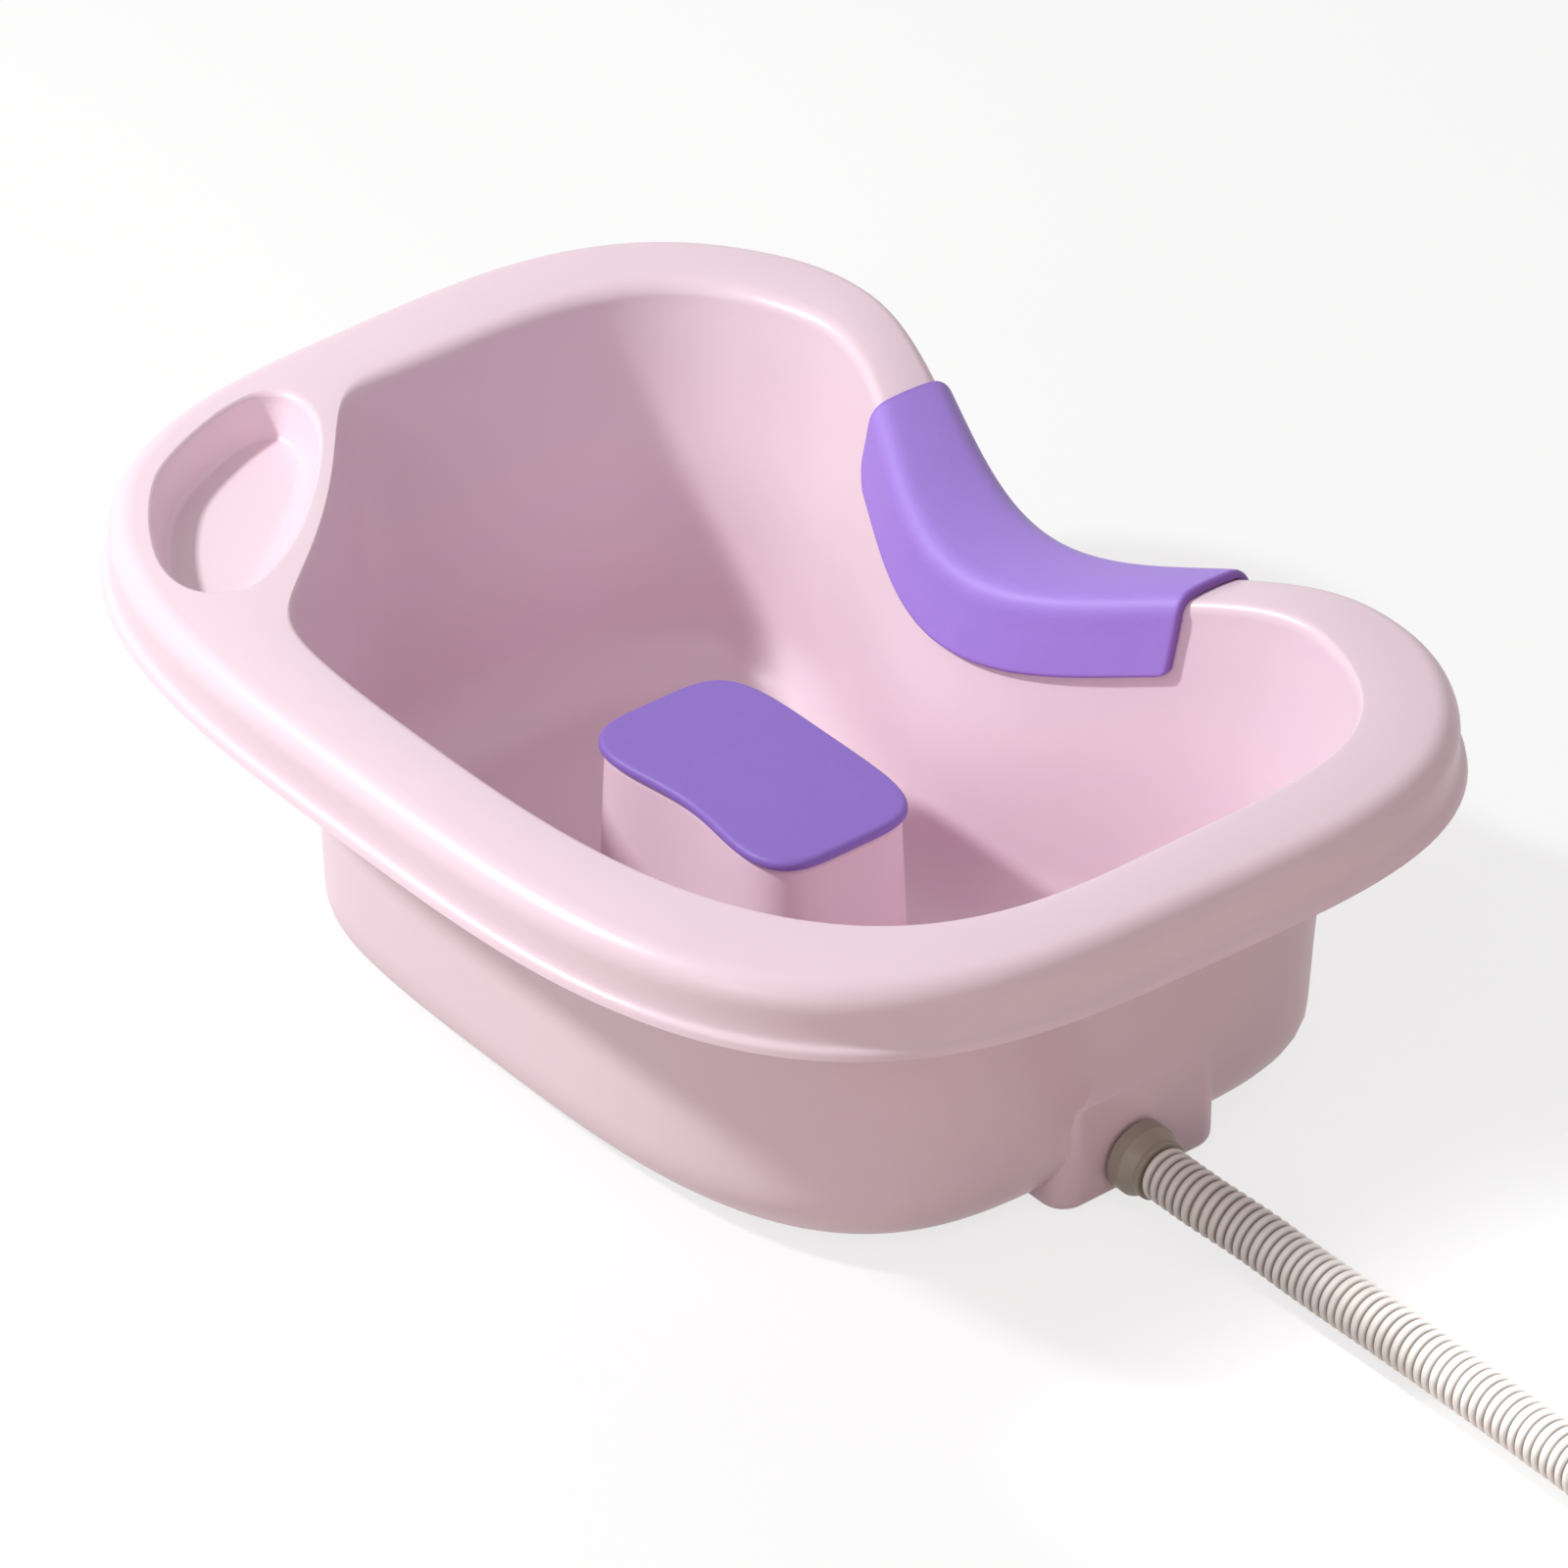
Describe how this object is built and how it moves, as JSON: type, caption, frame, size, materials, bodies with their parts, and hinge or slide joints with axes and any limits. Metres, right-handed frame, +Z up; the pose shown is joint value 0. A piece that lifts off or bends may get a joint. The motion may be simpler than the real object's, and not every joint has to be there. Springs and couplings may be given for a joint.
{
  "type": "portable shampoo basin",
  "caption": "Portable hair washing basin with a neck notch and cushion, a side tray, a lift-off head rest, a drain stopper and a ribbed drain hose.",
  "frame": {"origin": "on the surface that the basin stands on, under the middle of its outline; the hose is left out of that outline", "axes": "+X along the basin towards its hose end, +Y towards the neck notch, +Z up"},
  "size_m": [0.9659, 0.4582, 0.192],
  "materials": {
    "pink_plastic": "satin moulded polypropylene",
    "purple_foam": "smooth soft foam",
    "beige_plastic": "satin",
    "hose_plastic": "ribbed, slightly glossy",
    "white_rubber": "matt",
    "grey_rubber": "matt",
    "clear_rubber": "smooth"
  },
  "bodies": {
    "basin": {"basin_shell": "pink_plastic", "foot_pad_1": "grey_rubber", "foot_pad_2": "grey_rubber", "foot_pad_3": "grey_rubber", "foot_pad_4": "grey_rubber", "outlet_fitting": "beige_plastic", "outlet_inner_gasket": "white_rubber", "outlet_outer_gasket": "white_rubber", "drain_hose": "hose_plastic"},
    "neck_cushion": {"neck_cushion": "purple_foam"},
    "head_rest": {"head_rest_pedestal": "pink_plastic", "head_rest_pad": "purple_foam", "head_rest_suction_cup_1": "clear_rubber", "head_rest_suction_cup_2": "clear_rubber", "head_rest_suction_cup_3": "clear_rubber", "head_rest_suction_cup_4": "clear_rubber"},
    "collar": {"outlet_collar": "beige_plastic"},
    "stopper": {"outlet_stopper": "white_rubber"}
  },
  "joints": [
    {"name": "neck_cushion_lift", "type": "slide", "parent": "basin", "child": "neck_cushion", "axis": [0, 0, 1], "range_m": [0, 0.09]},
    {"name": "head_rest_lift", "type": "slide", "parent": "basin", "child": "head_rest", "axis": [0, 0, 1], "range_m": [0, 0.12]},
    {"name": "collar_turn", "type": "hinge", "parent": "basin", "child": "collar", "pos_m": [0.23438, 0.02608, 0.0192], "axis": [1, 0, 0], "range_deg": [0, 360]},
    {"name": "stopper_pull", "type": "slide", "parent": "basin", "child": "stopper", "axis": [-1, 0, 0], "range_m": [0, 0.035]}
  ]
}
